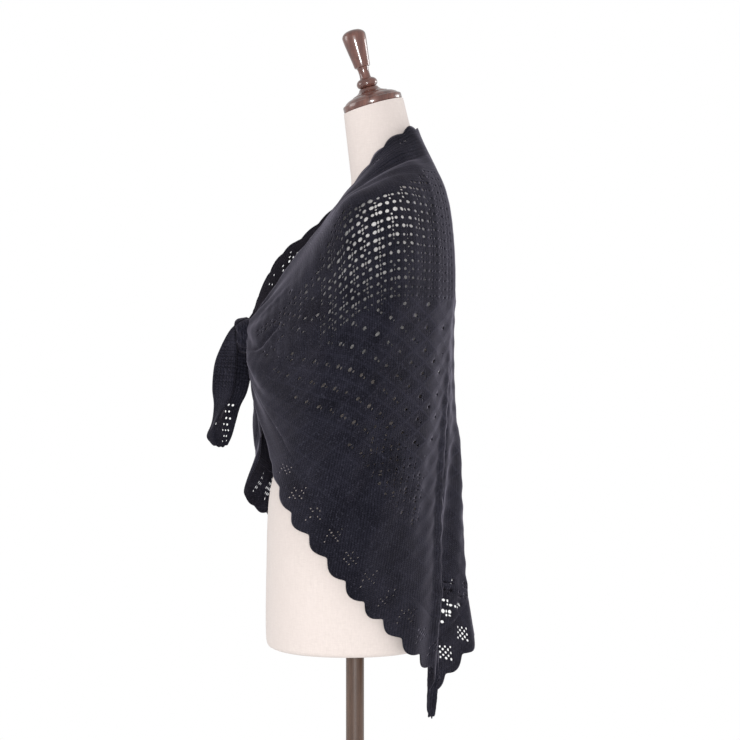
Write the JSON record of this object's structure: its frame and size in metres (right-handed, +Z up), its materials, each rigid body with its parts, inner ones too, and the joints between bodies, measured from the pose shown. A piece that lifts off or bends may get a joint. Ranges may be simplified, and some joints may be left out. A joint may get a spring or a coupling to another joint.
{
  "type": "lace shawl on a dress form",
  "caption": "Triangular lace-knit shawl with scalloped edging, tied in front on a limbless linen dress form with a wooden neck cap, finial, pole and round base.",
  "frame": {"origin": "centre of the base's underside, on the floor", "axes": "+Z up along the pole, -Y towards the form's front, +X towards the form's left side"},
  "size_m": [0.4365, 0.3918, 1.6312],
  "materials": {
    "knit": "soft black wool lace",
    "linen": "plain natural linen",
    "varnished_wood": "dark varnish",
    "brown_wood": "satin varnish"
  },
  "bodies": {
    "root": {"left_wing": "knit", "right_wing": "knit", "left_neck_border": "knit", "right_neck_border": "knit", "left_hem_border": "knit", "right_hem_border": "knit", "knot": "knit", "front_tail": "knit", "under_tail": "knit", "form_body": "linen", "neck_cap": "varnished_wood", "finial": "varnished_wood", "pole": "brown_wood", "base": "brown_wood"}
  },
  "joints": []
}
